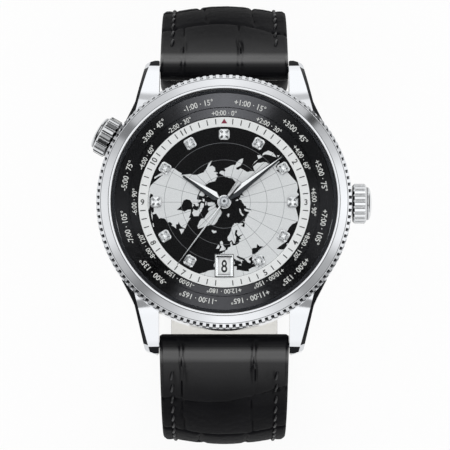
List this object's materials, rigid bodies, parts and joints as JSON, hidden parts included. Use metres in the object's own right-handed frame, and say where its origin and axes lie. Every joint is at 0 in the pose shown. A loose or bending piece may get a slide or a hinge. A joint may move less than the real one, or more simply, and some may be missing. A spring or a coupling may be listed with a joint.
{
  "type": "wristwatch",
  "caption": "Automatic world-time wristwatch with a map dial, turning zone ring, two fluted crowns and a padded black leather strap.",
  "frame": {"origin": "centre of the case back's flat face", "axes": "+Z out of the dial, +Y towards 12 o'clock, +X towards 3 o'clock; the strap hangs below the case in -Z"},
  "size_m": [0.0474, 0.0772, 0.0813],
  "materials": {
    "polished_steel": "polished stainless steel",
    "brushed_steel": "brushed stainless steel",
    "crystal_glass": "clear flat crystal",
    "black_seal": "black nylon or rubber seal",
    "white_ring": "matt white printed ring",
    "dial_black": "black dial with silver map",
    "stone": "clear cut stones",
    "zone_ring_black": "satin black ring with printed numbers",
    "holder_plastic": "grey movement holder",
    "plate_nickel": "rhodium-plated brass with striping",
    "wheel_brass": "gilt brass",
    "movement_steel": "hardened steel",
    "blued_steel": "blued steel",
    "jewel_red": "synthetic ruby",
    "date_white": "white printed calendar disc",
    "hand_steel": "diamond-polished steel",
    "black_leather": "glossy black embossed calf leather",
    "lining_leather": "pale beige lining leather"
  },
  "bodies": {
    "root": {"case_middle": "polished_steel", "bezel": "polished_steel", "crystal": "crystal_glass", "crystal_gasket": "black_seal", "minute_track_ring": "white_ring", "dial": "dial_black", "hour_markers": "stone", "date_frame": "polished_steel", "movement_ring": "holder_plastic", "case_back": "brushed_steel", "case_back_glass": "crystal_glass", "case_back_gasket": "black_seal", "crown_tube": "brushed_steel", "ring_crown_tube": "brushed_steel", "spring_bar_12": "brushed_steel", "spring_bar_6": "brushed_steel", "main_plate": "plate_nickel", "barrel_bridge": "plate_nickel", "train_bridge": "plate_nickel", "balance_cock": "plate_nickel", "pallet_bridge": "plate_nickel", "jewels": "jewel_red", "bridge_screws": "blued_steel", "rotor_post": "movement_steel", "hairspring": "blued_steel"},
    "sliding_pinion": {"sliding_pinion": "movement_steel"},
    "crown": {"crown": "polished_steel", "winding_stem": "movement_steel"},
    "city_ring": {"city_ring": "zone_ring_black"},
    "ring_crown": {"ring_crown": "polished_steel", "ring_crown_stem": "movement_steel"},
    "minute_hand": {"cannon_pinion": "movement_steel", "minute_hand": "hand_steel"},
    "minute_wheel": {"minute_wheel": "wheel_brass"},
    "hour_hand": {"hour_wheel": "wheel_brass", "hour_hand": "hand_steel"},
    "date_disc": {"date_disc": "date_white"},
    "second_hand": {"second_hand": "hand_steel", "fourth_wheel": "wheel_brass"},
    "third_wheel": {"third_wheel": "wheel_brass"},
    "center_wheel": {"center_wheel": "wheel_brass"},
    "barrel": {"barrel": "wheel_brass", "mainspring": "movement_steel"},
    "ratchet_wheel": {"ratchet_wheel": "movement_steel"},
    "escape_wheel": {"escape_wheel": "movement_steel"},
    "pallet_fork": {"pallet_fork": "movement_steel"},
    "balance_wheel": {"balance_wheel": "wheel_brass"},
    "rotor": {"rotor": "plate_nickel"},
    "strap_12": {"strap_12_upper": "black_leather", "strap_12_lining": "lining_leather", "keeper_fixed": "black_leather", "buckle_bar": "brushed_steel"},
    "strap_6": {"strap_6_upper": "black_leather", "strap_6_lining": "lining_leather"},
    "keeper_free": {"keeper_free": "black_leather"},
    "buckle_frame": {"buckle_frame": "polished_steel"},
    "buckle_tongue": {"buckle_tongue": "polished_steel"}
  },
  "joints": [
    {"name": "crown_turn", "type": "hinge", "parent": "root", "child": "sliding_pinion", "pos_m": [0.0094, 0, 0.0048], "axis": [1, 0, 0], "continuous": true},
    {"name": "crown_pull", "type": "slide", "parent": "sliding_pinion", "child": "crown", "axis": [1, 0, 0], "range_m": [0, 0.0015]},
    {"name": "city_ring_turn", "type": "hinge", "parent": "root", "child": "city_ring", "pos_m": [0, 0, 0.007], "axis": [0, 0, 1], "continuous": true},
    {"name": "ring_crown_turn", "type": "hinge", "parent": "root", "child": "ring_crown", "pos_m": [-0.01472, 0.0085, 0.0048], "axis": [-0.866, 0.5, 0], "continuous": true},
    {"name": "minute_hand_turn", "type": "hinge", "parent": "root", "child": "minute_hand", "pos_m": [0, 0, 0.0074], "axis": [0, 0, -1], "continuous": true},
    {"name": "minute_wheel_turn", "type": "hinge", "parent": "root", "child": "minute_wheel", "pos_m": [0.00239, -0.00201, 0.00565], "axis": [0, 0, -1], "continuous": true},
    {"name": "hour_hand_turn", "type": "hinge", "parent": "root", "child": "hour_hand", "pos_m": [0, 0, 0.007], "axis": [0, 0, -1], "continuous": true},
    {"name": "date_disc_turn", "type": "hinge", "parent": "root", "child": "date_disc", "pos_m": [0, 0, 0.00595], "axis": [0, 0, -1], "continuous": true},
    {"name": "second_hand_turn", "type": "hinge", "parent": "root", "child": "second_hand", "pos_m": [0, 0, 0.0078], "axis": [0, 0, -1], "continuous": true},
    {"name": "third_wheel_turn", "type": "hinge", "parent": "root", "child": "third_wheel", "pos_m": [-0.00495, 0, 0.0032], "axis": [0, 0, -1], "continuous": true},
    {"name": "center_wheel_turn", "type": "hinge", "parent": "root", "child": "center_wheel", "pos_m": [0, 0, 0.0038], "axis": [0, 0, -1], "continuous": true},
    {"name": "barrel_turn", "type": "hinge", "parent": "root", "child": "barrel", "pos_m": [0.00432, 0.00515, 0.0033], "axis": [0, 0, -1], "continuous": true},
    {"name": "ratchet_wheel_turn", "type": "hinge", "parent": "root", "child": "ratchet_wheel", "pos_m": [0.00432, 0.00515, 0.002], "axis": [0, 0, -1], "continuous": true},
    {"name": "escape_wheel_turn", "type": "hinge", "parent": "root", "child": "escape_wheel", "pos_m": [0.00309, -0.00368, 0.0035], "axis": [0, 0, -1], "continuous": true},
    {"name": "pallet_fork_rock", "type": "hinge", "parent": "root", "child": "pallet_fork", "pos_m": [0.00194, -0.0059, 0.0035], "axis": [0, 0, -1], "range_deg": [-7, 7]},
    {"name": "balance_swing", "type": "hinge", "parent": "root", "child": "balance_wheel", "pos_m": [0.00072, -0.00825, 0.0031], "axis": [0, 0, -1], "range_deg": [-270, 270], "stiffness_Nm_per_rad": 0.00000012},
    {"name": "rotor_turn", "type": "hinge", "parent": "root", "child": "rotor", "pos_m": [0, 0, 0.0014], "axis": [0, 0, 1], "continuous": true},
    {"name": "strap_12_swing", "type": "hinge", "parent": "root", "child": "strap_12", "pos_m": [0, 0.0236, 0.0011], "axis": [1, 0, 0], "range_deg": [0, 60]},
    {"name": "strap_6_swing", "type": "hinge", "parent": "root", "child": "strap_6", "pos_m": [0, -0.0236, 0.0011], "axis": [-1, 0, 0], "range_deg": [0, 60]},
    {"name": "keeper_free_slide", "type": "slide", "parent": "strap_12", "child": "keeper_free", "axis": [0, 0.3033, 0.9529], "range_m": [0, 0.005]},
    {"name": "buckle_frame_turn", "type": "hinge", "parent": "strap_12", "child": "buckle_frame", "pos_m": [0, 0.02191, -0.06665], "axis": [-1, 0, 0], "range_deg": [-60, 60]},
    {"name": "buckle_tongue_turn", "type": "hinge", "parent": "buckle_frame", "child": "buckle_tongue", "pos_m": [0, 0.02191, -0.06665], "axis": [1, 0, 0], "range_deg": [0, 90]}
  ],
  "couplings": [
    {"joint": "ring_crown_turn", "follows": "city_ring_turn", "ratio": -17},
    {"joint": "ratchet_wheel_turn", "follows": "crown_turn", "ratio": 0.35},
    {"joint": "minute_wheel_turn", "follows": "minute_hand_turn", "ratio": -0.33333},
    {"joint": "hour_hand_turn", "follows": "minute_hand_turn", "ratio": 0.083333},
    {"joint": "third_wheel_turn", "follows": "second_hand_turn", "ratio": -0.13333},
    {"joint": "center_wheel_turn", "follows": "second_hand_turn", "ratio": 0.016667},
    {"joint": "barrel_turn", "follows": "second_hand_turn", "ratio": -0.0027778},
    {"joint": "escape_wheel_turn", "follows": "second_hand_turn", "ratio": -10}
  ]
}
